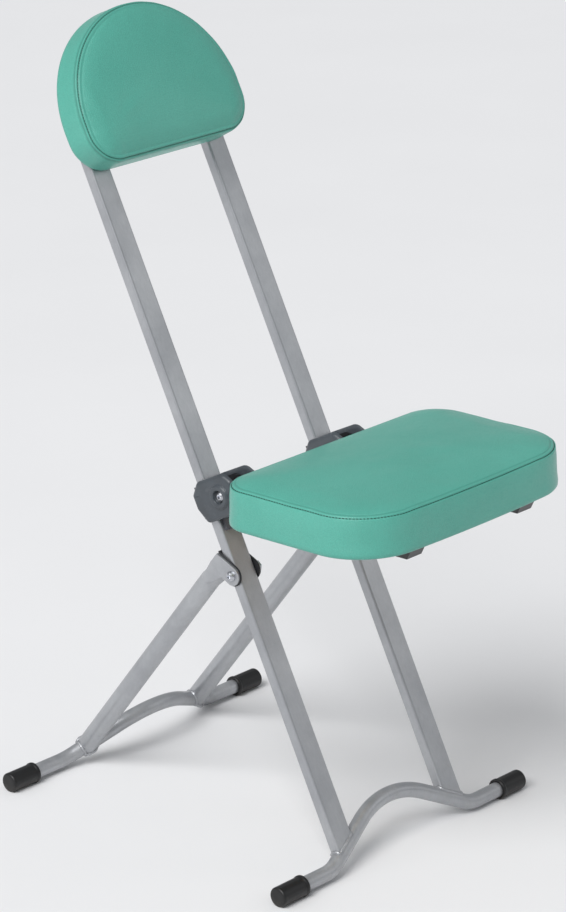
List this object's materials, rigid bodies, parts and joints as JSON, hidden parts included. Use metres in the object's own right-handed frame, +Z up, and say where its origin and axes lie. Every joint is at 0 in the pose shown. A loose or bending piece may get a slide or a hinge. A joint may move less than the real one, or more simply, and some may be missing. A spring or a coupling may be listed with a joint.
{
  "type": "folding work stool",
  "caption": "Folding sit-stand work stool: two leaning rails, hinged rear legs, a padded seat that slides up the rails and tips, and a half-round backrest pad.",
  "frame": {"origin": "on the floor, under the middle of the stool's overall box", "axes": "+Z up, -Y the way the sitter faces, +X to the sitter's left"},
  "size_m": [0.45, 0.605, 0.9709],
  "materials": {
    "silver_paint": "satin",
    "green_vinyl": "satin",
    "black_rubber": "matte",
    "grey_rubber": "matte",
    "charcoal_plastic": "satin",
    "black_plastic": "satin",
    "pale_nylon": "satin",
    "black_paint": "satin",
    "zinc_steel": "satin",
    "plywood": "matte"
  },
  "bodies": {
    "front_frame": {"front_foot_bar": "silver_paint", "rail_left": "silver_paint", "rail_right": "silver_paint", "rail_plug_left": "black_plastic", "rail_plug_right": "black_plastic", "front_cap_left": "black_rubber", "front_cap_right": "black_rubber", "backrest_board": "plywood", "backrest_pad": "green_vinyl", "backrest_screws": "zinc_steel", "backrest_tee_nuts": "zinc_steel"},
    "rear_frame": {"rear_foot_bar": "silver_paint", "rear_leg_left": "silver_paint", "rear_leg_right": "silver_paint", "leg_fork_left": "silver_paint", "leg_fork_right": "silver_paint", "fork_liner_left": "black_plastic", "fork_liner_right": "black_plastic", "rear_cap_left": "black_rubber", "rear_cap_right": "black_rubber", "leg_pivot_bolt_left": "zinc_steel", "leg_pivot_bolt_right": "zinc_steel", "leg_pivot_nut_left": "zinc_steel", "leg_pivot_nut_right": "zinc_steel"},
    "carriage": {"slider_yoke_left": "black_paint", "slider_yoke_right": "black_paint", "slider_cover_outer_left": "charcoal_plastic", "slider_cover_outer_right": "charcoal_plastic", "slider_cover_inner_left": "charcoal_plastic", "slider_cover_inner_right": "charcoal_plastic", "slider_bolt_left": "zinc_steel", "slider_bolt_right": "zinc_steel", "slider_nut_left": "zinc_steel", "slider_nut_right": "zinc_steel", "arm_washers": "pale_nylon"},
    "seat": {"seat_arm_left": "black_paint", "seat_arm_right": "black_paint", "arm_bush_left": "pale_nylon", "arm_bush_right": "pale_nylon", "brake_shoe_left": "grey_rubber", "brake_shoe_right": "grey_rubber", "seat_board": "plywood", "seat_pad": "green_vinyl", "seat_screws": "zinc_steel", "seat_tee_nuts": "zinc_steel"}
  },
  "joints": [
    {"name": "rear_leg_fold", "type": "hinge", "parent": "front_frame", "child": "rear_frame", "pos_m": [0, -0.01286, 0.33968], "axis": [-1, 0, 0], "range_deg": [0, 65.24]},
    {"name": "seat_height", "type": "slide", "parent": "front_frame", "child": "carriage", "axis": [0, 0.4664, 0.8846], "range_m": [0, 0.221]},
    {"name": "seat_tilt", "type": "hinge", "parent": "carriage", "child": "seat", "pos_m": [0, 0.00029, 0.43901], "axis": [-1, 0, 0], "range_deg": [0, 82]}
  ]
}
